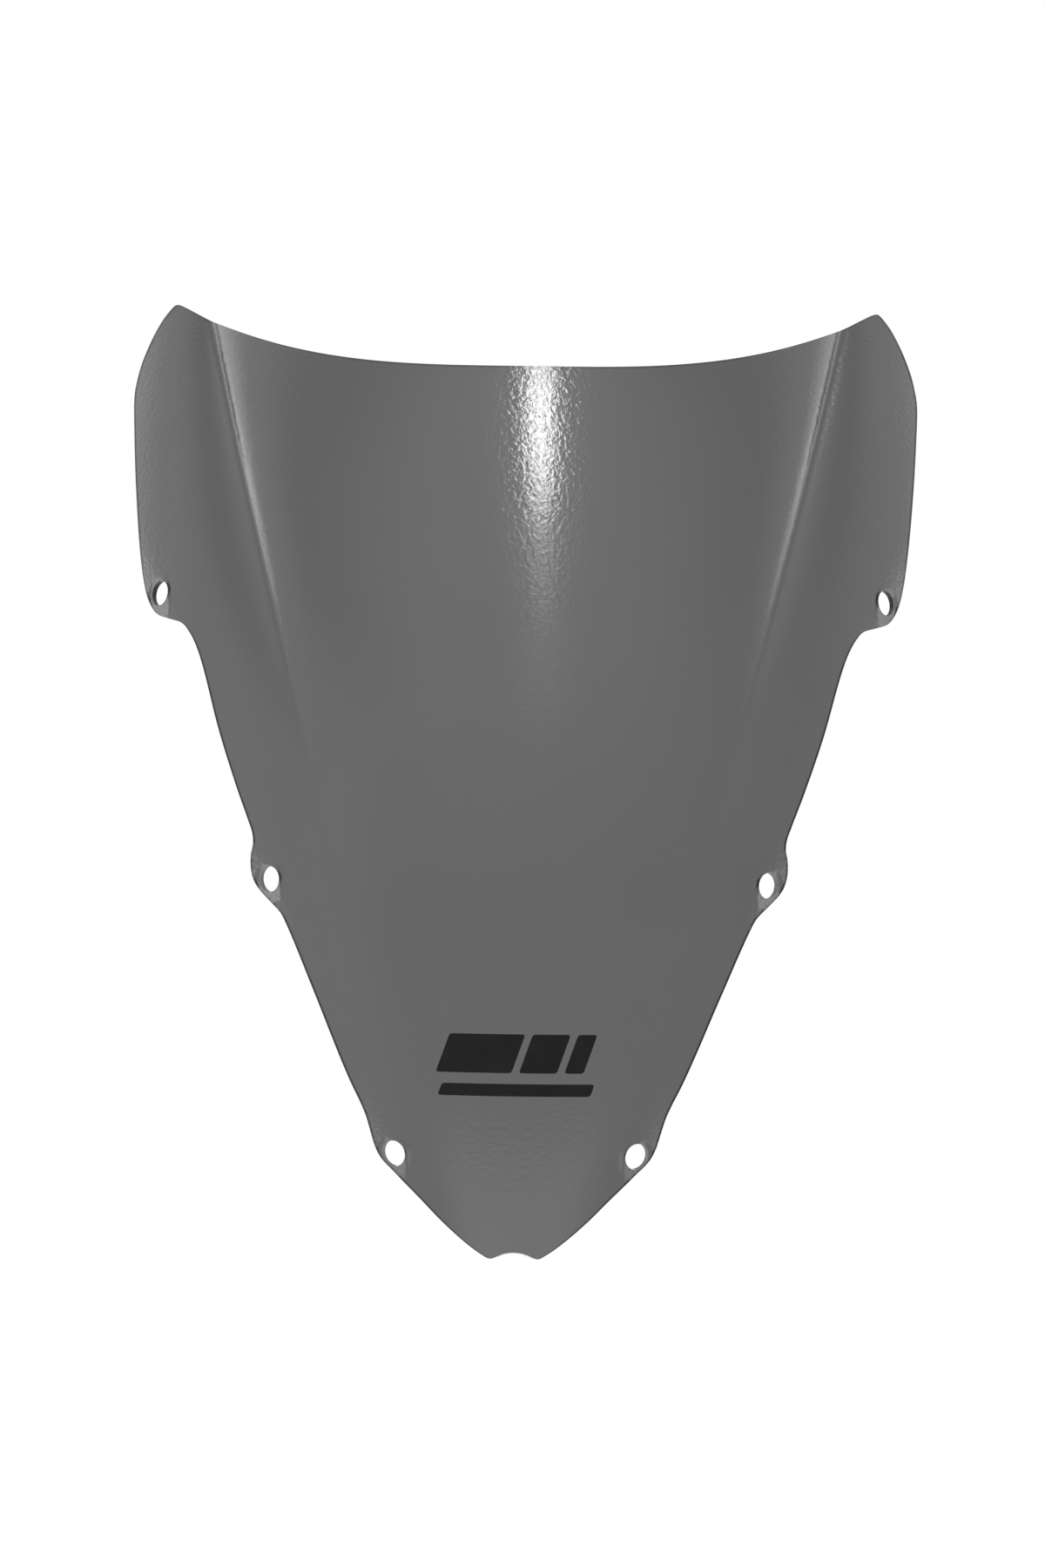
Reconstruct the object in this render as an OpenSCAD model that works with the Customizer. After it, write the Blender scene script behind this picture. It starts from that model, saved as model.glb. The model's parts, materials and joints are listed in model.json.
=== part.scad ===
// Windscreen for a sport motorcycle with a full fairing.
// One sheet of tinted clear acrylic is formed over a mould, trimmed square to its surface and
// drilled for six fairing fasteners. A plain film mark is stuck low on its centreline.
// +X is to the right of someone facing the screen, -Y is the way its outer face looks, +Z is up.
// The origin is on the centreline of the outer face, level with the two tips of the nose.

/* [Overall size] */
// Height from the nose tips to the peaks of the ears
panel_height = 451; // [400:1:500]
// Width across the ears
panel_width = 385; // [340:1:420]
// Thickness of the acrylic sheet
sheet = 2.5; // [2:0.1:4]

/* [Curvature] */
// Radius of the bow seen from the side
bow_radius = 650; // [550:10:1200]
// Height of the foremost point of the bow
bow_foremost = 80; // [40:1:120]
// Radius across the nose
nose_radius = 93; // [85:1:120]
// Radius across the panel at half height
waist_radius = 214; // [205:1:260]
// Radius across the ears
ear_radius = 260; // [245:1:300]

/* [Valleys between the bubble and the ears] */
// Depth of each valley at the top edge
valley_depth = 12.5; // [0:0.5:14]
// Distance over which the valley flattens out to each side
valley_reach = 14; // [12:1:30]
// Half the width of the valley's rounded floor
valley_floor = 1.5; // [1.5:0.5:6]
// Depth of the steeper wall on the bubble's side of the floor
crease_depth = 2.5; // [0:0.5:3]
// Distance over which that steeper wall flattens out
crease_reach = 3.5; // [3:0.5:8]

/* [Trimmed edges] */
// Height of the top edge on the centreline
top_edge = 414; // [395:1:430]
// Rise of the shallow notch between the nose tips
notch_rise = 3.7; // [2:0.1:6]

/* [Fastener holes] */
// Radius of each fastener hole
hole_r = 6; // [4:0.1:6.2]
// Half the width of the flat seat under each fastener
seat_r = 6.5; // [6.3:0.1:9]
// Length of each seat below its hole
seat_drop = 5; // [4:0.5:12]

/* [Film mark] */
// Height of the centre of the emblem
emblem_z = 94; // [90:1:120]
// Width of the emblem
emblem_w = 73; // [60:1:80]
// Height of the emblem
emblem_h = 17.5; // [14:0.5:20]
// Height of the stripe under the emblem
stripe_h = 5.5; // [4:0.5:7]
// Thickness of the film
film = 0.15; // [0.1:0.01:0.3]

/* [Hidden] */
$fn = 64;
smoke = [0.16, 0.16, 0.17, 0.75];
black = [0.02, 0.02, 0.02];

// Half of the panel's outline, from a nose tip up to the peak of an ear, as [height, half width]
// at the standard size.
OUTLINE = [
    [0, 10.8], [5, 18.6], [16, 31.8], [27, 43], [39, 55.5],                 // V of the nose
    [45, 61.5], [51, 64.5], [57, 66.3], [64, 68.5], [69, 70.7],             // lobe of the lower hole
    [80, 76.3], [121, 94.1], [151, 107.5],                                  // lower flank
    [155, 109.7], [161, 115.8], [167, 121.5], [172, 124], [177, 124.8],     // lobe of the middle hole
    [181.5, 124.8], [187, 123.6], [191, 124], [197.5, 126.3], [212, 132],   // dip above it
    [240, 141.9], [272, 151.4], [281, 155],                                 // upper flank
    [287, 158.6], [290.5, 161.8], [292.5, 168.1], [294.5, 174.2], [298, 177.7],  // step out to the ear
    [306, 181.3], [320, 184.3], [350, 188.1], [386, 191.4], [404, 192.5],   // outer side of the ear
    [416.5, 190.7], [430, 186.3], [443, 180], [451, 174]                    // shoulder of the ear
];
LAST = len(OUTLINE) - 1;
nominal_height = 451;
nominal_width = 385;
tall = panel_height / nominal_height;
wide = panel_width / nominal_width;

// Centres of the three holes of one side, as [x, z]. The other side mirrors them.
HOLES = [[55.4 * wide, 47 * tall], [115.5 * wide, 170.5 * tall], [173.8 * wide, 305 * tall]];

// Each seat is sunk below the sheet and leans outwards and downwards against it.
seat_depth = 0.1;     // at the hole's axis
seat_outward = 0.09;
seat_downward = 0.05;
seat_step = 3;        // width of the soft step round a seat

// The valley runs from its faint lower end up to the top edge and bows outwards between them.
valley_low = [74 * wide, 148 * tall];
valley_top = [154 * wide, 438 * tall];
valley_bow = 2.2;

// The mesh has rows at these heights, as [height to reach, number of rows], closer round the holes.
ROWS = [[33, 4], [59, 10], [153, 7], [189, 15], [284, 7], [300, 8], [317, 6], [417, 6], [451, 4]];
// Columns of one side: across the middle, through the valley, beside it, and along the edge
COLUMNS = [5, 8, 2, 8];
valley_band = 12;     // half the width of the band through the valley
edge_band = 25;       // width of the band along the edge

function smooth(t) = let (c = min(max(t, 0), 1)) c * c * (3 - 2 * c);

// ---- Outline ----

function chord(i) =
    (OUTLINE[i + 1][1] - OUTLINE[i][1]) / (OUTLINE[i + 1][0] - OUTLINE[i][0]);

// The outline's slope at a point is the harmonic mean of its two chords, and level where it turns.
function slope(i) =
    i == 0 ? chord(0)
    : i == LAST ? chord(LAST - 1)
    : chord(i - 1) * chord(i) <= 0 ? 0
    : 2 * chord(i - 1) * chord(i) / (chord(i - 1) + chord(i));

function span_of(h, i = 0) = i == LAST - 1 || h <= OUTLINE[i + 1][0] ? i : span_of(h, i + 1);

// Half width of the panel at height z, a smooth curve through the outline's points
function half_width(z) =
    let (
        h = z / tall,
        i = span_of(h),
        step = OUTLINE[i + 1][0] - OUTLINE[i][0],
        t = (h - OUTLINE[i][0]) / step,
        from = (1 + 2 * t) * (1 - t) * (1 - t) * OUTLINE[i][1],
        to = t * t * (3 - 2 * t) * OUTLINE[i + 1][1],
        leave = t * (1 - t) * (1 - t) * step * slope(i),
        arrive = t * t * (t - 1) * step * slope(i + 1)
    )
    wide * (from + to + leave + arrive);

// How far the top edge lies below the ear peaks, where share is 0 at the centreline and 1 at an ear
peak_round = 0.05;
top_power = 3;
function top_drop(share) =
    let (climb = 1 - pow(share, top_power))
    (panel_height - top_edge)
        * (sqrt(climb * climb + peak_round * peak_round) - peak_round) / (1 - peak_round);

// ---- Formed surface ----

// Radius across the panel: one parabola through the nose, half-height and ear radii
function radius_at(z) =
    let (t = z / panel_height)
    nose_radius * (1 - t) * (1 - 2 * t)
        + waist_radius * 4 * t * (1 - t)
        + ear_radius * t * (2 * t - 1);

// Depth of the centreline behind the origin, along an arc
function arc_front(z) = -sqrt(pow(bow_radius, 2) - pow(z - bow_foremost, 2));
function bow(z) = arc_front(z) - arc_front(0);

function sweep(x, z) =
    radius_at(z) - sqrt(pow(radius_at(z), 2) - x * x);

function valley_x(z) =
    let (t = (z - valley_low[1]) / (valley_top[1] - valley_low[1]))
    valley_low[0] + t * (valley_top[0] - valley_low[0]) + 4 * valley_bow * t * (1 - t);

function valley(x, z) =
    let (
        fade = smooth((z - valley_low[1]) / (valley_top[1] - valley_low[1])),
        away = abs(x) - valley_x(z),
        rounded = sqrt(away * away + valley_floor * valley_floor) - valley_floor,
        steep = away < 0 ? min(crease_depth, valley_depth) : 0
    )
    fade * (
        (valley_depth - steep) * exp(-rounded / valley_reach)
        + steep * exp(-rounded / crease_reach)
    );

function sheet_y(x, z) = bow(z) + sweep(x, z) + valley(x, z);

// Slopes of the formed sheet at [x, z], as [across, upwards]
nudge = 0.05;
function sheet_slope(x, z) = [
    (sheet_y(x + nudge, z) - sheet_y(x - nudge, z)) / (2 * nudge),
    (sheet_y(x, z + nudge) - sheet_y(x, z - nudge)) / (2 * nudge)
];
SEAT_SLOPES = [for (h = HOLES) sheet_slope(h[0], h[1]) + [seat_outward, -seat_downward]];
SEAT_Y = [for (h = HOLES) sheet_y(h[0], h[1]) + seat_depth];

// How far the flat seat of hole i sinks the sheet at [x, z]: the seat is open to the edge below.
function seat_sink(i, x, z) =
    let (
        across = abs(x) - HOLES[i][0],
        up = z - HOLES[i][1],
        slopes = SEAT_SLOPES[i],
        reach = norm([across * sqrt(1 + slopes[0] * slopes[0]),
                      up - max(min(up, 0), -seat_drop)])
    )
    reach > seat_r + seat_step ? 0
    : let (plane = SEAT_Y[i] + slopes[0] * across + slopes[1] * up)
    (plane - sheet_y(x, z)) * (1 - smooth((reach - seat_r) / seat_step));

function outer_y(x, z) =
    sheet_y(x, z) + seat_sink(0, x, z) + seat_sink(1, x, z) + seat_sink(2, x, z);

// Unit vector out of the outer face at [x, z]
function outward(x, z) =
    let (
        across = (outer_y(x + nudge, z) - outer_y(x - nudge, z)) / (2 * nudge),
        upwards = (outer_y(x, z + nudge) - outer_y(x, z - nudge)) / (2 * nudge),
        v = [across, -1, upwards]
    )
    v / norm(v);

// A point at a given depth under the outer face
function under(x, z, depth) = [x, outer_y(x, z), z] - depth * outward(x, z);

// ---- Mesh of a curved sheet ----

// Distances from the centreline between which the groups of columns lie, in the row at height h
function column_bounds(h, w) =
    let (
        middle = min(valley_x(h), 0.7 * w),
        band = min(valley_band, 0.1 * w),
        edge = max(w - edge_band, middle + band + 0.04 * w)
    )
    [0, middle - band, middle + band, edge, w];

// x of column i in the row at height h, where w is the half width
side_columns = COLUMNS[0] + COLUMNS[1] + COLUMNS[2] + COLUMNS[3];
columns = 2 * side_columns;
function spread(k, bounds, group = 0) =
    k <= COLUMNS[group]
    ? bounds[group] + (bounds[group + 1] - bounds[group]) * k / COLUMNS[group]
    : spread(k - COLUMNS[group], bounds, group + 1);
function column_x(i, h, w) =
    sign(i - side_columns) * spread(abs(i - side_columns), column_bounds(h, w));

ROW_Z = concat([0], [
    for (b = [0 : len(ROWS) - 1])
        let (low = b == 0 ? 0 : ROWS[b - 1][0])
        for (k = [1 : ROWS[b][1]])
            tall * (low + (ROWS[b][0] - low) * k / ROWS[b][1])
]);
notch_fade = 38;      // height over which the rows level out above the notch
top_fade = 150;       // height over which the rows level out below the top edge

// [x, z] of the mesh point in column i of the row at height h
function panel_point(i, h) =
    let (
        w = half_width(h),
        x = column_x(i, h, w),
        share = abs(x) / w,
        lift = notch_rise * (1 - share * share) * max(1 - h / notch_fade, 0),
        drop = top_drop(share) * smooth((h - panel_height + top_fade) / top_fade)
    )
    [x, h + lift - drop];

// Closed sheet between two depths under the outer face, over a grid of [x, z] points, rows upwards
module curved_sheet(grid, shallow, deep) {
    rows = len(grid) - 1;
    cols = len(grid[0]) - 1;
    layer = (rows + 1) * (cols + 1);
    function at(r, c, back) = back * layer + r * (cols + 1) + c;
    // Each cell is two triangles. They mirror about the centreline.
    function cell(a, b, c, d, left) = left ? [[a, b, c], [a, c, d]] : [[a, b, d], [b, c, d]];
    points = [
        for (depth = [shallow, deep]) for (row = grid) for (p = row) under(p[0], p[1], depth)
    ];
    faces = [
        for (r = [0 : rows - 1]) for (c = [0 : cols - 1])
            for (t = cell(at(r, c, 0), at(r + 1, c, 0), at(r + 1, c + 1, 0), at(r, c + 1, 0),
                          2 * c < cols)) t,
        for (r = [0 : rows - 1]) for (c = [0 : cols - 1])
            for (t = cell(at(r, c, 1), at(r + 1, c, 1), at(r + 1, c + 1, 1), at(r, c + 1, 1),
                          2 * c < cols)) [t[2], t[1], t[0]],
        for (r = [0 : rows - 1])
            for (t = cell(at(r, 0, 0), at(r, 0, 1), at(r + 1, 0, 1), at(r + 1, 0, 0), true)) t,
        for (r = [0 : rows - 1])
            for (t = cell(at(r, cols, 0), at(r + 1, cols, 0), at(r + 1, cols, 1), at(r, cols, 1),
                          true)) t,
        for (c = [0 : cols - 1])
            for (t = cell(at(0, c, 0), at(0, c + 1, 0), at(0, c + 1, 1), at(0, c, 1), true)) t,
        for (c = [0 : cols - 1])
            for (t = cell(at(rows, c, 0), at(rows, c, 1), at(rows, c + 1, 1), at(rows, c + 1, 0),
                          true)) t
    ];
    polyhedron(points, faces, convexity = 6);
}

// ---- Panel ----

// Cylinder square to the seat of hole i on one side, where side is 1 on +X and -1 on -X
module hole_cutter(i, side) {
    slopes = SEAT_SLOPES[i];
    cutter_l = 12 * sheet;
    translate([side * HOLES[i][0], SEAT_Y[i], HOLES[i][1]])
        rotate([0, 0, side * atan(slopes[0])])
            rotate([90 - atan(slopes[1] / sqrt(1 + slopes[0] * slopes[0])), 0, 0])
                cylinder(h = cutter_l, r = hole_r, center = true);
}

module screen_panel() {
    grid = [for (h = ROW_Z) [for (i = [0 : columns]) panel_point(i, h)]];
    color(smoke)
        difference() {
            curved_sheet(grid, 0, sheet);
            for (i = [0 : len(HOLES) - 1]) for (side = [-1, 1]) hole_cutter(i, side);
        }
}

// ---- Film mark ----

// The two films lie on the outer face, on a thin bed of adhesive.
adhesive = 0.05;
film_margin = 2;
mark_lean = 0.35;     // sideways lean of the mark's ends for each unit of height
bar_gap = 3.5;        // gap between the bars of the emblem
stripe_gap = 4.5;     // gap between the emblem and the stripe under it

// Thin film that follows the outer face between two heights
module film_blank(width, low, high) {
    film_rows = 8;
    film_columns = 24;
    grid = [
        for (r = [0 : film_rows]) [
            for (c = [0 : film_columns])
                [width * (c / film_columns - 0.5), low + (high - low) * r / film_rows]
        ]
    ];
    curved_sheet(grid, -adhesive - film, -adhesive);
}

// Upright bar with leaning ends, centred on [0, 0]
module leaning_bar(width, height) {
    lean = mark_lean * height / 2;
    polygon([
        [-width / 2 - lean, -height / 2], [width / 2 - lean, -height / 2],
        [width / 2 + lean, height / 2], [-width / 2 + lean, height / 2]
    ]);
}

// Cuts the flat shape given as a child out of a film blank
module cut_film(width, height, z) {
    intersection() {
        film_blank(width + 2 * film_margin, z - height / 2 - film_margin,
                   z + height / 2 + film_margin);
        translate([0, panel_height / 4, z])
            rotate([90, 0, 0])
                linear_extrude(height = panel_height / 2)
                    children();
    }
}

// Three leaning bars in a row, each half as wide as the one before it
module emblem_film() {
    bars = 3;
    room = emblem_w - mark_lean * emblem_h - (bars - 1) * bar_gap;
    widest = room / (2 - pow(0.5, bars - 1));
    color(black)
        cut_film(emblem_w, emblem_h, emblem_z)
            for (i = [0 : bars - 1]) {
                bar_w = widest * pow(0.5, i);
                // the bars before this one, and their gaps
                start = 2 * widest * (1 - pow(0.5, i)) + i * bar_gap;
                translate([start + bar_w / 2 - (room + (bars - 1) * bar_gap) / 2, 0])
                    leaning_bar(bar_w, emblem_h);
            }
}

module stripe_film() {
    z = emblem_z - emblem_h / 2 - stripe_gap / 2 - stripe_h;
    color(black)
        cut_film(emblem_w, stripe_h, z)
            leaning_bar(emblem_w - mark_lean * stripe_h - 2, stripe_h);
}

screen_panel();
emblem_film();
stripe_film();
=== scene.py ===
"""Studio scene for a tinted motorcycle windscreen.

The panel and the film mark are rebuilt as fine smooth meshes from the same curves as the CAD part.
Lengths in the shape code are millimetres in the part's frame: +X right, -Y out of the outer face,
+Z up. They become metres when a mesh is made.
"""

import json
import math
from collections import namedtuple

import bmesh
import bpy
import numpy as np
from mathutils import Euler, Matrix, Vector, geometry, kdtree


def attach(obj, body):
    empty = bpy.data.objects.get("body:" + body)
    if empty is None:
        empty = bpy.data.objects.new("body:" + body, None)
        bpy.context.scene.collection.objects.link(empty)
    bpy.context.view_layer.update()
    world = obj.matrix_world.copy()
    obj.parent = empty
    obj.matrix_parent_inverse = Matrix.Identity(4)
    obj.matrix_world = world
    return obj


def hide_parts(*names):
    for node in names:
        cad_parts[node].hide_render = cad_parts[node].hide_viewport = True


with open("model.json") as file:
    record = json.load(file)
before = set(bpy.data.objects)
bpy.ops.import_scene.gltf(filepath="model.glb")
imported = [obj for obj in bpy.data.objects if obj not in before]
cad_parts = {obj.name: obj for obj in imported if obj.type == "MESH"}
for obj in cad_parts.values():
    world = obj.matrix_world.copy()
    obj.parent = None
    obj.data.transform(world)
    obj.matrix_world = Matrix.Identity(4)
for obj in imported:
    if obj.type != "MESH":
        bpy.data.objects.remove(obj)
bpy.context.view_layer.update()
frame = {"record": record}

MM = 0.001

# ---- Driving sizes, the same as the part's ----

panel_height = 451.0
sheet = 2.5
bow_radius = 650.0
bow_foremost = 80.0
nose_radius = 93.0
waist_radius = 214.0
ear_radius = 260.0
valley_depth = 12.5
valley_reach = 14.0
valley_floor = 1.5
crease_depth = 2.5
crease_reach = 3.5
top_edge = 414.0
notch_rise = 3.7
seat_r = 6.5
seat_drop = 5.0
seat_step = 3.0
peak_round = 0.05
top_power = 3.0
valley_low = (74.0, 148.0)
valley_top = (154.0, 438.0)
valley_bow = 2.2

# Half of the outline from a nose tip up to an ear peak, as (height, half width)
OUTLINE = np.array([
    (0, 10.8), (5, 18.6), (16, 31.8), (27, 43), (39, 55.5),
    (45, 61.5), (51, 64.5), (57, 66.3), (64, 68.5), (69, 70.7),
    (80, 76.3), (121, 94.1), (151, 107.5),
    (155, 109.7), (161, 115.8), (167, 121.5), (172, 124), (177, 124.8),
    (181.5, 124.8), (187, 123.6), (191, 124), (197.5, 126.3), (212, 132),
    (240, 141.9), (272, 151.4), (281, 155),
    (287, 158.6), (290.5, 161.8), (292.5, 168.1), (294.5, 174.2), (298, 177.7),
    (306, 181.3), (320, 184.3), (350, 188.1), (386, 191.4), (404, 192.5),
    (416.5, 190.7), (430, 186.3), (443, 180), (451, 174),
])

# Each fastener hole: a point on its axis, the axis out of the outer face, and its radius
HOLES = [
    (np.array(m["pos_m"]) / MM, np.array(m["axis"]), m["dims"]["r_mm"])
    for m in frame["record"]["mounts"]
    if m["kind"] == "bore"
]


def smooth(t):
    t = np.clip(t, 0, 1)
    return t * t * (3 - 2 * t)


# ---- Formed surface ----


def half_width(height):
    """Half width of the panel: a smooth curve through the outline's points that never overshoots."""
    at, half = OUTLINE[:, 0], OUTLINE[:, 1]
    chord = np.diff(half) / np.diff(at)
    before, after = chord[:-1], chord[1:]
    same_way = before * after > 0
    mean = 2 * before * after / np.where(same_way, before + after, 1)
    slope = np.concatenate([chord[:1], np.where(same_way, mean, 0), chord[-1:]])
    i = np.clip(np.searchsorted(at, height) - 1, 0, len(chord) - 1)
    step = at[i + 1] - at[i]
    t = (height - at[i]) / step
    return (
        (1 + 2 * t) * (1 - t) ** 2 * half[i]
        + t * t * (3 - 2 * t) * half[i + 1]
        + t * (1 - t) ** 2 * step * slope[i]
        + t * t * (t - 1) * step * slope[i + 1]
    )


def top_drop(share):
    """How far the top edge lies below the ear peaks. share is 0 on the centreline, 1 at a peak."""
    climb = 1 - share**top_power
    rounded = np.sqrt(climb**2 + peak_round**2) - peak_round
    return (panel_height - top_edge) * rounded / (1 - peak_round)


def radius_at(z):
    """Radius of the cross-section: a quadratic through the nose, the waist and the ears."""
    t = z / panel_height
    return (
        nose_radius * (1 - t) * (1 - 2 * t)
        + waist_radius * 4 * t * (1 - t)
        + ear_radius * t * (2 * t - 1)
    )


def bow(z):
    """Depth of the centreline, an arc that is foremost a little above the nose."""
    start = math.sqrt(bow_radius**2 - bow_foremost**2)
    return start - np.sqrt(bow_radius**2 - (z - bow_foremost) ** 2)


def valley_share(z):
    """How far a height lies along the valley: 0 at its faint lower end, 1 at the top."""
    return (z - valley_low[1]) / (valley_top[1] - valley_low[1])


def valley_x(z):
    t = valley_share(z)
    return valley_low[0] + t * (valley_top[0] - valley_low[0]) + 4 * valley_bow * t * (1 - t)


def valley(x, z):
    """Depth of the creases between the bubble and the ears. The inner wall is steeper at the floor."""
    away = np.abs(x) - valley_x(z)
    rounded = np.sqrt(away**2 + valley_floor**2) - valley_floor
    steep = np.where(away < 0, crease_depth, 0)
    wide = (valley_depth - steep) * np.exp(-rounded / valley_reach)
    narrow = steep * np.exp(-rounded / crease_reach)
    return smooth(valley_share(z)) * (wide + narrow)


def sheet_y(x, z):
    """Depth of the outer face before the seats are sunk into it."""
    radius = radius_at(z)
    return bow(z) + radius - np.sqrt(radius**2 - x**2) + valley(x, z)


def slopes_of(surface, x, z):
    nudge = 0.05
    across = (surface(x + nudge, z) - surface(x - nudge, z)) / (2 * nudge)
    upwards = (surface(x, z + nudge) - surface(x, z - nudge)) / (2 * nudge)
    return across, upwards


def seat_sink(hole, x, z):
    """How far the flat seat of one hole sinks the sheet. The seat is open to the edge below it."""
    centre, axis, _ = hole
    seat_centre = centre + axis * sheet / 2
    slope_x, slope_z = -axis[0] / axis[1], -axis[2] / axis[1]
    across, up = x - seat_centre[0], z - seat_centre[2]
    reach = np.hypot(across * math.hypot(1, slope_x), up - np.clip(up, -seat_drop, 0))
    plane = seat_centre[1] + slope_x * across + slope_z * up
    return (plane - sheet_y(x, z)) * (1 - smooth((reach - seat_r) / seat_step))


def outer_y(x, z):
    return sheet_y(x, z) + sum(seat_sink(hole, x, z) for hole in HOLES)


def lifted(flat):
    """Points of the outer face above flat (x, z) points, and the unit normals there."""
    x, z = flat[:, 0], flat[:, 1]
    across, upwards = slopes_of(outer_y, x, z)
    points = np.column_stack([x, outer_y(x, z), z])
    normals = np.column_stack([across, -np.ones_like(x), upwards])
    return points, normals / np.linalg.norm(normals, axis=1, keepdims=True)


# ---- Edge loops ----

# A closed loop on the outer face, the way out of the material at each of its points, how far the wall
# leans outwards towards the back for each millimetre of depth, and the wall's finish at each point
Rim = namedtuple("Rim", "flat outward lean finish")

# Finishes, in the order of the panel's materials. The last one is a bore wall painted near black as
# shade.
FACE, CUT, BORE, PAINTED_SHADE_BORE = range(4)


def unit(vectors):
    return vectors / np.linalg.norm(vectors, axis=1, keepdims=True)


def even_loop(flat, step, soften):
    """A closed loop with evenly spaced points over the surface, its corners softened."""
    points, _ = lifted(flat)
    closed = np.vstack([points, points[:1]])
    length = np.concatenate([[0], np.cumsum(np.linalg.norm(np.diff(closed, axis=0), axis=1))])
    count = int(length[-1] / step)
    at = np.linspace(0, length[-1], count, endpoint=False)
    loop = np.column_stack([np.interp(at, length, closed[:, 0]), np.interp(at, length, closed[:, 2])])
    for _ in range(soften):
        loop = (np.roll(loop, 1, axis=0) + 2 * loop + np.roll(loop, -1, axis=0)) / 4
    return loop


def outer_rim(flat, inset):
    """The rim of a loop around material, moved in by inset."""
    points, normals = lifted(flat)
    along = unit(np.roll(points, -1, axis=0) - np.roll(points, 1, axis=0))
    outward = unit(np.cross(along, normals))
    area = np.sum(flat[:, 0] * np.roll(flat[:, 1], -1) - flat[:, 1] * np.roll(flat[:, 0], -1))
    outward *= -math.copysign(1, area)
    moved = points - inset * outward
    return Rim(moved[:, [0, 2]], outward, np.zeros(len(flat)), np.full(len(flat), CUT))


def hole_rim(hole, inset, step):
    """The rim of a hole, at inset from its wall. Only the outer half of the wall is frosted, and on the
    upper holes that half is painted near black as shade.
    """
    settling_rounds = 4
    centre, axis, radius = hole
    first = np.cross(axis, (0, 0, 1))
    first /= np.linalg.norm(first)
    second = np.cross(axis, first)
    count = int(2 * math.pi * radius / step)
    turn = np.linspace(0, 2 * math.pi, count, endpoint=False)[:, None]
    spoke = np.cos(turn) * first + np.sin(turn) * second
    points = centre + axis * sheet / 2 + (radius + inset) * spoke
    for _ in range(settling_rounds):
        off = points[:, 1] - outer_y(points[:, 0], points[:, 2])
        across, upwards = slopes_of(outer_y, points[:, 0], points[:, 2])
        points = points - (off / (axis[1] - across * axis[0] - upwards * axis[2]))[:, None] * axis
    flat = points[:, [0, 2]]
    _, normals = lifted(flat)
    inward = -spoke + np.sum(spoke * normals, axis=1)[:, None] * normals
    # Painted shade: the upper holes' frosted wall is given a near-black tone instead of the frosted grey
    # of the lower holes.
    frosted = PAINTED_SHADE_BORE if centre[2] > panel_height / 2 else BORE
    finish = np.where(spoke[:, 0] * centre[0] > 0, frosted, CUT)
    return Rim(flat, unit(inward), np.zeros(count), finish)


# ---- Meshes ----


def inside(flat, loops):
    """True for each point within an odd number of loops."""
    odd = np.zeros(len(flat), bool)
    for loop in loops:
        for (x0, z0), (x1, z1) in zip(loop, np.roll(loop, -1, axis=0)):
            if z0 == z1:
                continue
            crosses = (flat[:, 1] < z0) != (flat[:, 1] < z1)
            odd ^= crosses & (flat[:, 0] < x0 + (flat[:, 1] - z0) * (x1 - x0) / (z1 - z0))
    return odd


def lattice(low, high, spacing):
    """Points of a triangular lattice that mirrors about x = 0."""
    rise = spacing * math.sqrt(3) / 2
    rows = []
    for k, z in enumerate(np.arange(low[1], high[1], rise)):
        reach = max(abs(low[0]), abs(high[0]))
        half = np.arange(spacing * (1 if k % 2 else 0.5), reach, spacing)
        x = np.concatenate([-half[::-1], [0] if k % 2 else [], half])
        rows.append(np.column_stack([x, np.full(len(x), z)]))
    return np.vstack(rows)


def filling(loops, spacing, fine_spacing, is_fine):
    """Lattice points within the loops, clear of their edges, closer together where is_fine says."""
    clearance = 0.7
    corners = np.vstack(loops)
    tree = kdtree.KDTree(len(corners))
    for i, (x, z) in enumerate(corners):
        tree.insert((x, z, 0), i)
    tree.balance()
    kept = []
    for gap, wanted in ((spacing, False), (fine_spacing, True)):
        points = lattice(corners.min(axis=0), corners.max(axis=0), gap)
        points = points[is_fine(points) == wanted]
        points = points[inside(points, loops)]
        clear = [tree.find((x, z, 0))[2] > clearance * gap for x, z in points]
        kept.append(points[np.array(clear, bool)])
    return np.vstack(kept)


def triangulated(name, loops, fill):
    """The loops' and the fill's points, and triangles between them, all turned the same way."""
    merge_distance = 1e-6
    flat = np.vstack([*loops, fill])
    edges, start = [], 0
    for loop in loops:
        n = len(loop)
        edges += [(start + k, start + (k + 1) % n) for k in range(n)]
        start += n
    found = geometry.delaunay_2d_cdt([Vector(p) for p in flat], edges, [], 1, merge_distance)
    if len(found[0]) != len(flat):
        raise ValueError(f"{name}: the loops touch")
    triangles = np.array([t for t in found[2]])
    triangles = triangles[inside(flat[triangles].mean(axis=1), loops)]
    a, b, c = (flat[triangles[:, k]] for k in range(3))
    wrong_way = (b[:, 0] - a[:, 0]) * (c[:, 1] - a[:, 1]) < (b[:, 1] - a[:, 1]) * (c[:, 0] - a[:, 0])
    triangles[wrong_way] = triangles[wrong_way][:, ::-1]
    return flat, triangles


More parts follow.
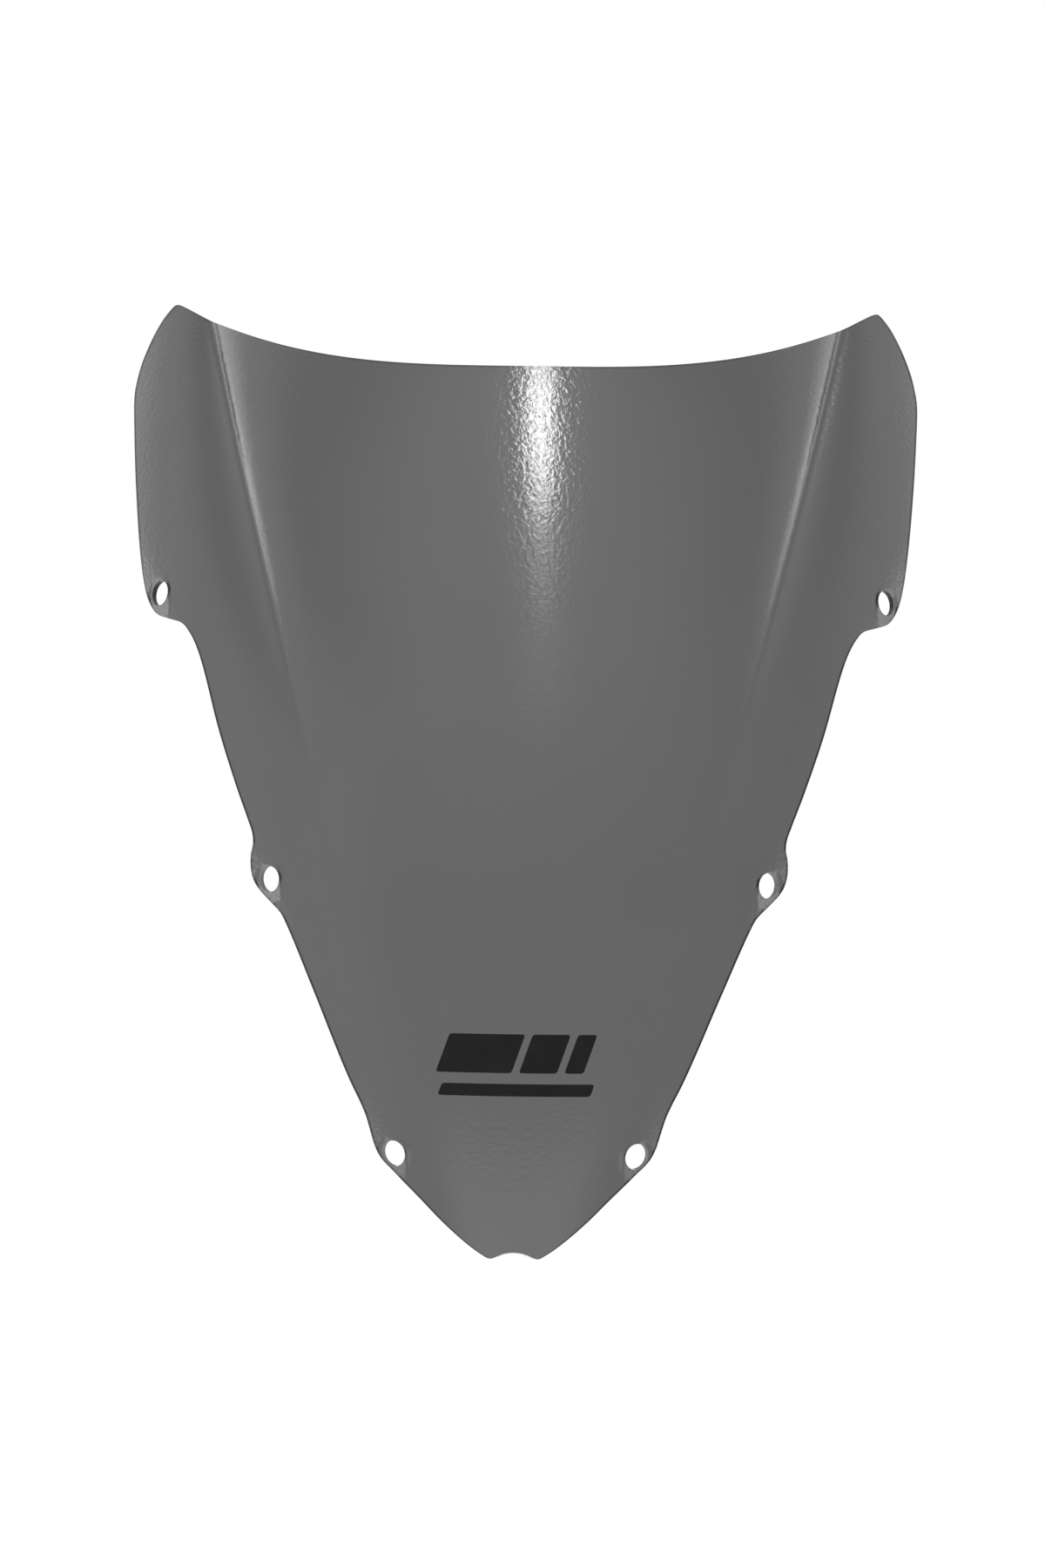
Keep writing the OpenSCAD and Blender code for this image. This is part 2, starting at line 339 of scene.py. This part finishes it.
def sheet_mesh(name, rims, top, thick, rounding, fill):
    """A closed curved sheet with rounded edges.

    top is the outer face's height over the panel's.
    The edge profile is a quarter circle, a straight wall and another quarter circle.
    """
    flat, triangles = triangulated(name, [rim.flat for rim in rims], fill)
    points, normals = lifted(flat)
    outer = points + top * normals
    inner = outer - thick * normals
    vertices, directions = [outer, inner], [normals, -normals]
    count = len(flat)
    faces = [tuple(t) for t in triangles] + [tuple(t[::-1] + count) for t in triangles]
    finishes = [FACE] * len(faces)

    quarter = np.radians([30, 60, 90])
    profile = [(t, rounding) for t in quarter] + [(math.pi - t, thick - rounding) for t in quarter[::-1]]
    made, start = 2 * count, 0
    for rim in rims:
        n = len(rim.flat)
        p, up = outer[start:start + n], normals[start:start + n]
        across = rim.lean[:, None] * rim.outward
        inner[start:start + n] += thick * across
        ring = [start + np.arange(n)]
        for angle, depth in profile:
            away = math.sin(angle) * rim.outward + math.cos(angle) * up
            vertices.append(p + depth * (across - up) + rounding * away)
            directions.append(away)
            ring.append(made + np.arange(n))
            made += n
        ring.append(count + start + np.arange(n))
        for upper, lower in zip(ring, ring[1:]):
            quads = np.column_stack([upper, lower, np.roll(lower, -1), np.roll(upper, -1)])
            faces += [tuple(q) for q in quads]
            finishes += rim.finish.tolist()
        start += n
    return smooth_piece(name, np.vstack(vertices), faces, finishes, np.vstack(directions))


def smooth_piece(name, vertices, faces, finishes, directions):
    """An object in metres, shaded as if its surface looked in the given direction at each vertex."""
    mesh = bpy.data.meshes.new(name)
    mesh.from_pydata((vertices * MM).tolist(), [], [[int(v) for v in f] for f in faces])
    mesh.validate()
    mesh.polygons.foreach_set("material_index", finishes)
    mesh.polygons.foreach_set("use_smooth", np.ones(len(mesh.polygons), bool))
    point_out(mesh, directions)
    mesh.normals_split_custom_set_from_vertices(directions.tolist())
    piece = bpy.data.objects.new(name, mesh)
    bpy.context.scene.collection.objects.link(piece)
    return piece


def point_out(mesh, directions):
    """Turns each face whose winding disagrees with the way its corners should look."""
    work = bmesh.new()
    work.from_mesh(mesh)
    wrong = [
        f for f in work.faces
        if f.normal.dot(Vector(directions[[v.index for v in f.verts]].sum(axis=0))) < 0
    ]
    bmesh.ops.reverse_faces(work, faces=wrong)
    work.to_mesh(mesh)
    work.free()


# ---- Panel ----

edge_step = 1.2
edge_softening = 3
edge_rounding = 0.06
edge_bevel = 0.95          # outward lean of the trimmed wall where the edge looks straight back
notch_undercut = 0.35      # inward lean of the wall in the notch
bore_step = 0.7
mesh_step = 3.0
fine_step = 1.0
fine_valley = 8.0          # half the width of the finely meshed strip along a valley
fine_seat = 17.0           # radius of the finely meshed patch round a seat
faint_end = 40.0           # length of the valley's lower end that needs no fine mesh


def panel_outline():
    height = np.linspace(0, panel_height, 900)
    right = np.column_stack([half_width(height), height])
    share = np.linspace(1, -1, 500)[1:-1]
    top = np.column_stack(
        [share * half_width(np.array([panel_height])), panel_height - top_drop(np.abs(share))]
    )
    left = right[::-1] * (-1, 1)
    share = np.linspace(-1, 1, 60)[1:-1]
    notch = np.column_stack([share * OUTLINE[0, 1], notch_rise * (1 - share**2)])
    return np.vstack([right, top, left, notch])


def panel_needs_care(flat):
    """True in the valleys and round the seats, where the surface bends sharply."""
    x, z = flat[:, 0], flat[:, 1]
    fine = (np.abs(np.abs(x) - valley_x(z)) < fine_valley) & (z > valley_low[1] + faint_end)
    for centre, _, _ in HOLES:
        fine |= np.hypot(x - centre[0], z - centre[2] + seat_drop / 2) < fine_seat
    return fine


def bevelled(rim):
    """The same rim, leaning outwards where it looks backwards but not on top, inwards in the notch."""
    top_start, top_fade = 395, 15
    square_half, square_fade = 60, 50
    notch_half, notch_fade = 7, 6
    x, z = np.abs(rim.flat[:, 0]), rim.flat[:, 1]
    on_top = smooth((z - top_start) / top_fade) * (1 - smooth((x - square_half) / square_fade))
    in_notch = (1 - smooth((x - notch_half) / notch_fade)) * (z < top_edge / 2)
    lean = edge_bevel * np.clip(rim.outward[:, 1], 0, 1) * (1 - on_top) * (1 - in_notch)
    return rim._replace(lean=lean - notch_undercut * in_notch)


trimmed = even_loop(panel_outline(), edge_step, edge_softening)
panel_rims = [bevelled(outer_rim(trimmed, edge_rounding))]
panel_rims += [hole_rim(hole, edge_rounding, bore_step) for hole in HOLES]
fill = filling([rim.flat for rim in panel_rims], mesh_step, fine_step, panel_needs_care)
panel = sheet_mesh("screen_panel_smooth", panel_rims, 0, sheet, edge_rounding, fill)
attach(panel, "root")
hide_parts("screen_panel")

# ---- Film mark ----

adhesive = 0.03
film = 0.15
film_rounding = 0.05
film_edge_step = 0.8
film_softening = 2
film_mesh_step = 2.5
emblem_z = 94.0
emblem_w = 73.0
emblem_h = 17.5
stripe_h = 5.5
stripe_gap = 4.5
mark_lean = 0.35
bar_gap = 3.5


def leaning_bar(centre_x, centre_z, width, height):
    """Corners of an upright bar whose ends lean to the right."""
    lean = mark_lean * height / 2
    low, high = -height / 2, height / 2
    corners = [(-width / 2 - lean, low), (width / 2 - lean, low),
               (width / 2 + lean, high), (-width / 2 + lean, high)]
    return np.array(corners) + (centre_x, centre_z)


def nowhere(flat):
    """The film needs no finer mesh anywhere."""
    return np.zeros(len(flat), bool)


def film_piece(name, bars):
    """Bars of film laid on the panel, cut from one roll."""
    rims = [outer_rim(even_loop(bar, film_edge_step, film_softening), film_rounding) for bar in bars]
    fill = filling([rim.flat for rim in rims], film_mesh_step, film_mesh_step, nowhere)
    piece = sheet_mesh(name + "_smooth", rims, adhesive + film, film, film_rounding, fill)
    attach(piece, "root")
    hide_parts(name)
    return piece


bar_count = 3
bars_w = emblem_w - mark_lean * emblem_h - (bar_count - 1) * bar_gap
widest = bars_w / sum(0.5**halving for halving in range(bar_count))
bars, left = [], -(bars_w + (bar_count - 1) * bar_gap) / 2
for halving in range(bar_count):
    bar_w = widest * 0.5**halving
    bars.append(leaning_bar(left + bar_w / 2, emblem_z, bar_w, emblem_h))
    left += bar_w + bar_gap
emblem = film_piece("emblem_film", bars)

stripe_z = emblem_z - emblem_h / 2 - stripe_gap / 2 - stripe_h
stripe_inset = 2.0
stripe_w = emblem_w - mark_lean * stripe_h - stripe_inset
stripe = film_piece("stripe_film", [leaning_bar(0, stripe_z, stripe_w, stripe_h)])

# ---- Materials ----

acrylic_ior = 1.49
acrylic_density = 230.0    # absorption per metre of sheet
film_shine = 0.2


def new_material(name):
    """An empty node material, its shader and a maker of further nodes."""
    material = bpy.data.materials.new(name)
    material.use_nodes = True
    tree = material.node_tree
    shader = tree.nodes["Principled BSDF"]

    def node(kind, **values):
        made = tree.nodes.new(kind)
        for key, value in values.items():
            if key in made.inputs:
                made.inputs[key].default_value = value
            else:
                setattr(made, key, value)
        return made

    return material, tree, shader, node


def noise(tree, node, scale, detail, low=0.0, high=1.0, distort=0.0):
    """Noise in the object's own metres, mapped to run between two values."""
    coords = node("ShaderNodeTexCoord")
    made = node("ShaderNodeTexNoise", Scale=scale, Detail=detail, Distortion=distort)
    tree.links.new(coords.outputs["Object"], made.inputs["Vector"])
    spread = node("ShaderNodeMapRange")
    spread.inputs["From Min"].default_value = 0.3
    spread.inputs["From Max"].default_value = 0.7
    spread.inputs["To Min"].default_value = low
    spread.inputs["To Max"].default_value = high
    tree.links.new(made.outputs["Fac"], spread.inputs["Value"])
    return spread.outputs["Result"]


def cloudy_colour(tree, node, shader, dark, light, scale, detail):
    """A base colour that drifts between two shades."""
    mix = node("ShaderNodeMix", data_type="RGBA")
    mix.inputs["A"].default_value = (*dark, 1)
    mix.inputs["B"].default_value = (*light, 1)
    tree.links.new(noise(tree, node, scale, detail), mix.inputs["Factor"])
    tree.links.new(mix.outputs["Result"], shader.inputs["Base Color"])


def uneven_roughness(tree, node, shader, roughness, scale, detail):
    amount = noise(tree, node, scale, detail, *roughness)
    tree.links.new(amount, shader.inputs["Roughness"])


def raised(tree, node, shader, height, strength, distance):
    """Bumps from a height signal, distance metres tall."""
    bump = node("ShaderNodeBump", Strength=strength, Distance=distance)
    tree.links.new(height, bump.inputs["Height"])
    tree.links.new(bump.outputs["Normal"], shader.inputs["Normal"])


def smoke_acrylic(name, tint, roughness, wave):
    """Tinted clear plastic. The tint is part in the surface colour, part in the thickness."""
    material, tree, shader, node = new_material(name)
    shader.inputs["Transmission Weight"].default_value = 1.0
    shader.inputs["IOR"].default_value = acrylic_ior
    cloudy_colour(tree, node, shader, [tint[0]] * 3, [tint[1]] * 3, scale=9.0, detail=3.0)
    uneven_roughness(tree, node, shader, roughness, scale=160.0, detail=4.0)
    ripple = noise(tree, node, scale=450.0, detail=3.0, distort=0.4)
    raised(tree, node, shader, ripple, strength=1.0, distance=wave)
    depth = node("ShaderNodeVolumeAbsorption", Density=acrylic_density, Color=(0.0, 0.0, 0.0, 1.0))
    output = tree.nodes["Material Output"]
    tree.links.new(depth.outputs["Volume"], output.inputs["Volume"])
    return material


def frosted_acrylic(name, shade, roughness):
    """The wall that a drill leaves."""
    material, tree, shader, node = new_material(name)
    cloudy_colour(tree, node, shader, [shade[0]] * 3, [shade[1]] * 3, scale=700.0, detail=4.0)
    uneven_roughness(tree, node, shader, roughness, scale=400.0, detail=3.0)
    return material


def black_film(name):
    """Thin satin vinyl with a faint pebble."""
    material, tree, shader, node = new_material(name)
    dark, light = (0.003, 0.003, 0.004), (0.006, 0.006, 0.007)
    cloudy_colour(tree, node, shader, dark, light, scale=90.0, detail=4.0)
    shader.inputs["Specular IOR Level"].default_value = film_shine
    uneven_roughness(tree, node, shader, (0.36, 0.5), scale=400.0, detail=3.0)
    pebble = noise(tree, node, scale=1500.0, detail=2.0)
    raised(tree, node, shader, pebble, strength=0.5, distance=0.00003)
    return material


# One material for each finish, in the order of the finishes
panel_materials = [
    smoke_acrylic("smoke_acrylic", (0.203, 0.214), (0.015, 0.04), 0.000037),
    smoke_acrylic("smoke_acrylic_cut_edge", (0.204, 0.215), (0.06, 0.14), 0.00001),
    frosted_acrylic("smoke_acrylic_bore", (0.16, 0.2), (0.45, 0.65)),
    # Painted shade: the same frosted bore wall as above, in a near-black tone, for the upper holes.
    frosted_acrylic("smoke_acrylic_deep_bore", (0.015, 0.03), (0.45, 0.65)),
]
for material in panel_materials:
    panel.data.materials.append(material)

# The film is the same on its face and at its cut edge.
vinyl = black_film("black_film")
for piece in (emblem, stripe):
    piece.data.materials.append(vinyl)
    piece.data.materials.append(vinyl)

# ---- Studio ----

scene = bpy.context.scene
scene.view_settings.view_transform = "Standard"
scene.view_settings.look = "None"
scene.view_settings.exposure = 0
scene.view_settings.gamma = 1


def white_floor(width, drop):
    """An evenly bright floor, drop metres under the panel. The panel doesn't mirror it."""
    half = width / 2
    mesh = bpy.data.meshes.new("floor")
    corners = [(-half, -half, 0), (half, -half, 0), (half, half, 0), (-half, half, 0)]
    mesh.from_pydata(corners, [], [(0, 1, 2, 3)])
    material = bpy.data.materials.new("floor")
    material.use_nodes = True
    tree = material.node_tree
    tree.nodes.remove(tree.nodes["Principled BSDF"])
    glow = tree.nodes.new("ShaderNodeEmission")
    tree.links.new(glow.outputs["Emission"], tree.nodes["Material Output"].inputs["Surface"])
    mesh.materials.append(material)
    plane = bpy.data.objects.new("floor", mesh)
    plane.location = (0, 0, -drop)
    plane.visible_glossy = False
    scene.collection.objects.link(plane)


white_floor(30, 0.0005)

# The surroundings are white behind the panel. The panel's faces mirror a softer room: dim in front,
# brighter above and to the sides, with one tall narrow lamp high in front and cards at the sides.

world = bpy.data.worlds.new("studio")
scene.world = world
world.use_nodes = True
sky = world.node_tree
sky.nodes.clear()


def maths(operation, *values):
    """A maths node over signals and numbers, as a new signal."""
    node = sky.nodes.new("ShaderNodeMath")
    node.operation = operation
    for socket, value in zip(node.inputs, values):
        if isinstance(value, Signal):
            sky.links.new(value.socket, socket)
        else:
            socket.default_value = value
    return Signal(node.outputs["Value"])


class Signal:
    """A number in the node tree. Arithmetic on it adds maths nodes."""

    def __init__(self, socket):
        self.socket = socket

    def __add__(self, other):
        return maths("ADD", self, other)

    def __mul__(self, other):
        return maths("MULTIPLY", self, other)

    def __rsub__(self, other):
        return maths("SUBTRACT", other, self)

    __radd__ = __add__
    __rmul__ = __mul__


def rise(value, low, high, top=1.0):
    """A soft step from 0 up to top as the value goes from low to high."""
    node = sky.nodes.new("ShaderNodeMapRange")
    node.interpolation_type = "SMOOTHSTEP"
    sky.links.new(value.socket, node.inputs["Value"])
    node.inputs["From Min"].default_value = low
    node.inputs["From Max"].default_value = high
    node.inputs["To Max"].default_value = top
    return Signal(node.outputs["Result"])


def bell(value, middle, width):
    """1 at the middle, falling off smoothly on both sides."""
    off = value + -middle
    return maths("EXPONENT", off * off * (-0.5 / width**2))


def background(strength):
    """White surroundings of an even or a varying strength."""
    node = sky.nodes.new("ShaderNodeBackground")
    node.inputs["Color"].default_value = (1, 1, 1, 1)
    if isinstance(strength, Signal):
        sky.links.new(strength.socket, node.inputs["Strength"])
    else:
        node.inputs["Strength"].default_value = strength
    return node.outputs["Background"]


direction = sky.nodes.new("ShaderNodeSeparateXYZ")
sky.links.new(sky.nodes.new("ShaderNodeTexCoord").outputs["Generated"], direction.inputs["Vector"])
rightwards, backwards, upwards = (Signal(direction.outputs[axis]) for axis in "XYZ")
sideways = maths("ABSOLUTE", rightwards)
frontwards = -1 * backwards
downwards = -1 * upwards

# The angle away from the front, a little less on the right, where the room stands further back
right_lag = math.radians(3.5)
bearing = maths("ARCTAN2", sideways, frontwards) + -right_lag * rise(rightwards, 0, 0.7)


def turn_rise(low, high, top=1.0):
    """A soft step in the bearing, in degrees."""
    return rise(bearing, math.radians(low), math.radians(high), top)


# The room, from the dim wall in front to the bright side walls. The cards light the six seats.
room_base = 0.42
room_falloff = 0.1         # how much dimmer the room is on the right
front = (0.18 + rise(upwards, 0.1, 0.8, 0.5)) * (1 - turn_rise(20, 68))
sides = turn_rise(70, 96, 0.58) + turn_rise(98, 116, 0.98) + turn_rise(124, 140, -0.9)
low_sides = (1 - rise(upwards, 0.32, 0.6)) * turn_rise(30, 60, 0.42) * (1 - turn_rise(74, 90))
table = rise(downwards, 0.07, 0.3, 0.8) * (1 - turn_rise(20, 45))
front_cards = 1.8 * bell(sideways, 0.851, 0.025) * bell(upwards, -0.333, 0.045)
side_cards = 2.8 * bell(sideways, 0.995, 0.012) * bell(upwards, -0.05, 0.04)
back_cards = 1.2 * rise(backwards, 0.1, 0.2) * rise(upwards, 0.05, 0.12) * (1 - rise(upwards, 0.22, 0.3))
walls = room_base + front + sides + low_sides * (0.75 + -0.35 * rightwards) + table
room = (walls + front_cards + side_cards + back_cards) * (1 + -room_falloff * rightwards)

# The lamp is a tall strip that leans a little, brightest near its upper end, with a soft glow round it.
lamp_lean = 0.135
lamp_side = 0.162
from_left = rightwards + lamp_lean * upwards
core_light = rise(upwards, 0.74, 0.87, 26) + rise(upwards, 0.6, 0.76, 3.2)
glow_light = rise(upwards, 0.44, 0.62, 0.55) + rise(upwards, 0.66, 0.8, 0.9)
lamp_end = 1 - rise(upwards, 0.895, 0.93, 0.45)
strip = bell(from_left, lamp_side, 0.022) * core_light + bell(from_left, lamp_side, 0.075) * glow_light
lamp = strip * lamp_end * rise(frontwards, 0, 0.1)

path = sky.nodes.new("ShaderNodeLightPath")
is_mirrored = Signal(path.outputs["Is Glossy Ray"]) * (1 - Signal(path.outputs["Is Transmission Ray"]))
choose = sky.nodes.new("ShaderNodeMixShader")
sky.links.new(is_mirrored.socket, choose.inputs["Fac"])
sky.links.new(background(1.0), choose.inputs[1])
sky.links.new(background(room + lamp), choose.inputs[2])
out = sky.nodes.new("ShaderNodeOutputWorld")
sky.links.new(choose.outputs["Shader"], out.inputs["Surface"])

# ---- Camera ----

camera_distance = 2.0
camera_height = 0.2161
camera_side = 0.001
frame_height = 0.711       # height of the picture at the origin's distance
roll = math.radians(-0.8)

camera = bpy.data.cameras.new("camera")
camera.sensor_width = 36
camera.lens = camera.sensor_width * camera_distance / frame_height
camera.clip_end = 100
viewer = bpy.data.objects.new("camera", camera)
viewer.location = (camera_side, -camera_distance, camera_height)
viewer.rotation_euler = Euler((math.radians(90), roll, 0), "XYZ")
scene.collection.objects.link(viewer)
scene.camera = viewer
